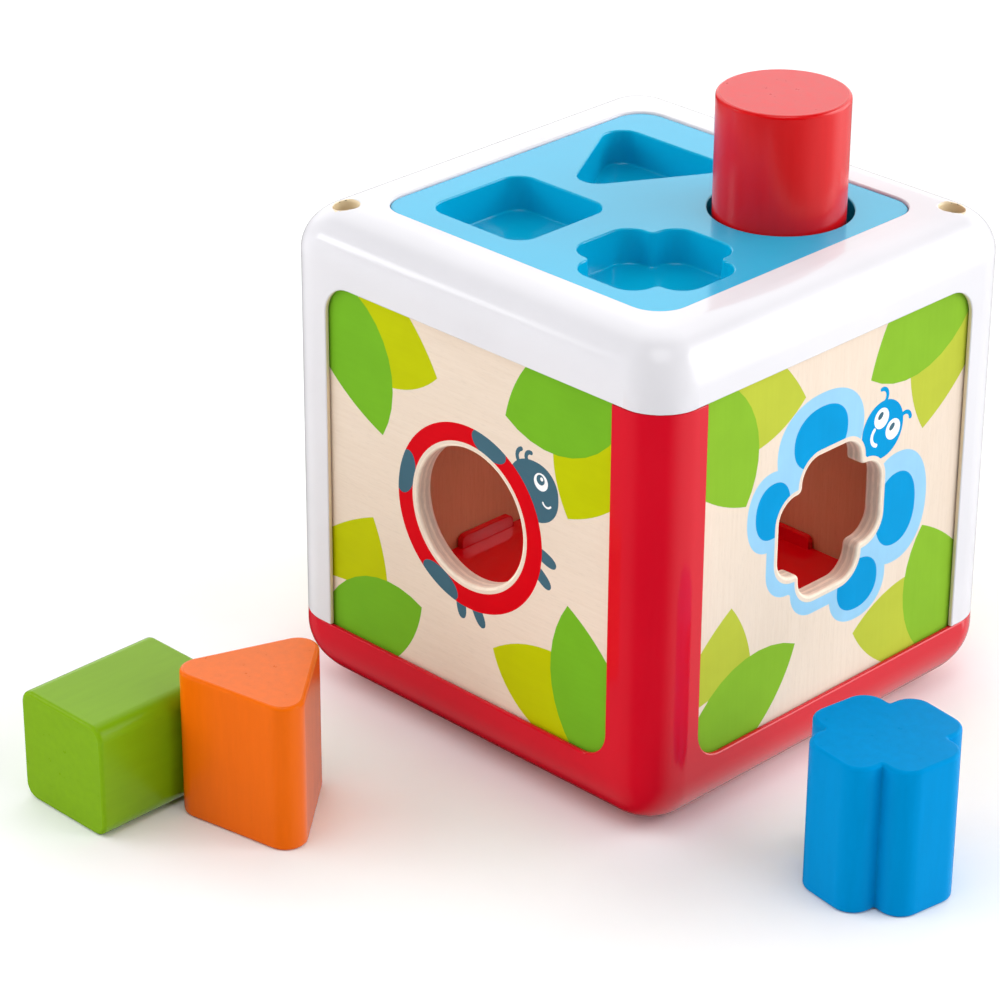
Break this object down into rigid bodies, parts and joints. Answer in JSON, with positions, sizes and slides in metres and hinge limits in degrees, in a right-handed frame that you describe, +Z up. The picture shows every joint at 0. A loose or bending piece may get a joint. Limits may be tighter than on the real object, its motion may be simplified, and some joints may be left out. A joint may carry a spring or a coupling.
{
  "type": "shape sorter",
  "caption": "Cube-shaped toddler shape sorter with plywood sides cut with shaped holes, a lift-out lid with matching wells, and painted wooden blocks.",
  "frame": {"origin": "centre of the box's underside, on the surface that the box and its loose blocks stand on", "axes": "+Z up; -Y is the side with the round hole, +X the side with the cross-shaped hole"},
  "size_m": [0.1937, 0.22, 0.1626],
  "materials": {
    "red_plastic": "gloss moulded ABS, red",
    "white_plastic": "gloss moulded ABS, white",
    "blue_plastic": "satin-gloss moulded ABS, light blue",
    "plywood": "sanded birch plywood under a thin clear lacquer, printed with inks",
    "screw_steel": "zinc-plated",
    "red_paint": "satin water-based paint over beech",
    "green_paint": "satin water-based paint over beech",
    "orange_paint": "satin water-based paint over beech",
    "blue_paint": "satin water-based paint over beech"
  },
  "bodies": {
    "box": {"base_tray": "red_plastic", "top_frame": "white_plastic", "panel_circle": "plywood", "panel_cross": "plywood", "panel_square": "plywood", "panel_triangle": "plywood", "leg_screw_left": "screw_steel", "leg_screw_right": "screw_steel"},
    "tray": {"sorting_tray": "blue_plastic"},
    "block_round": {"round_block": "red_paint"},
    "block_square": {"square_block": "green_paint"},
    "block_triangle": {"triangle_block": "orange_paint"},
    "block_cross": {"cross_block": "blue_paint"}
  },
  "joints": [
    {"name": "tray_lift", "type": "slide", "parent": "box", "child": "tray", "axis": [0, 0, 1], "range_m": [0, 0.08]},
    {"name": "round_block_lift", "type": "slide", "parent": "tray", "child": "block_round", "axis": [0, 0, 1], "range_m": [0, 0.06]},
    {"name": "square_block_lift", "type": "slide", "parent": "box", "child": "block_square", "axis": [0, 0, 1], "range_m": [0, 0.15]},
    {"name": "triangle_block_lift", "type": "slide", "parent": "box", "child": "block_triangle", "axis": [0, 0, 1], "range_m": [0, 0.15]},
    {"name": "cross_block_lift", "type": "slide", "parent": "box", "child": "block_cross", "axis": [0, 0, 1], "range_m": [0, 0.15]}
  ]
}
